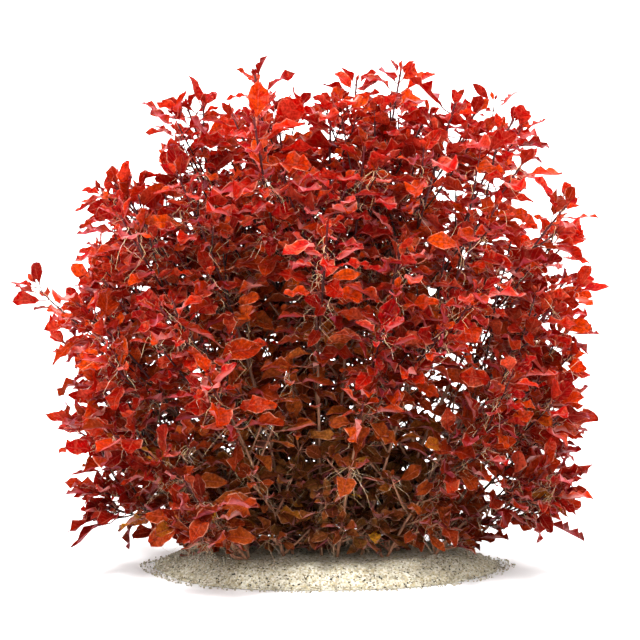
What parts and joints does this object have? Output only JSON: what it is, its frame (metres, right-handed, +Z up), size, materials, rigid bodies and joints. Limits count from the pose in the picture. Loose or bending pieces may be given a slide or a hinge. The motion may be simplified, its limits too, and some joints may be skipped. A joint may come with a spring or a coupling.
{
  "type": "red aquarium stem plant clump in sand",
  "caption": "Bushy clump of a red-leaved aquarium stem plant, its leafy stems fanning out of a low oval patch of pale sand.",
  "frame": {"origin": "middle of the sand patch's flat underside, where it rests", "axes": "+Z up along the stems; the clump's wide side runs along X and its depth along Y; its front faces -Y"},
  "size_m": [0.3342, 0.2263, 0.3113],
  "materials": {
    "plant": "satin living leaf, crimson above and orange-red below, on dark maroon stems",
    "sand": "loose pale cream sand with darker grains, dull"
  },
  "bodies": {
    "root": {"sand_bed": "sand", "plant_01": "plant", "plant_02": "plant", "plant_03": "plant", "plant_04": "plant", "plant_05": "plant", "plant_06": "plant", "plant_07": "plant", "plant_08": "plant", "plant_09": "plant", "plant_10": "plant", "plant_11": "plant", "plant_12": "plant", "plant_13": "plant", "plant_14": "plant", "plant_15": "plant", "plant_16": "plant", "plant_17": "plant", "plant_18": "plant", "plant_19": "plant", "plant_20": "plant", "plant_21": "plant", "plant_22": "plant", "plant_23": "plant", "plant_24": "plant", "plant_25": "plant", "plant_26": "plant", "plant_27": "plant", "plant_28": "plant", "plant_29": "plant", "plant_30": "plant", "plant_31": "plant", "plant_32": "plant", "plant_33": "plant", "plant_34": "plant", "plant_35": "plant", "plant_36": "plant", "plant_37": "plant", "plant_38": "plant", "plant_39": "plant", "plant_40": "plant", "plant_41": "plant", "plant_42": "plant", "plant_43": "plant", "plant_44": "plant", "plant_45": "plant"}
  },
  "joints": []
}
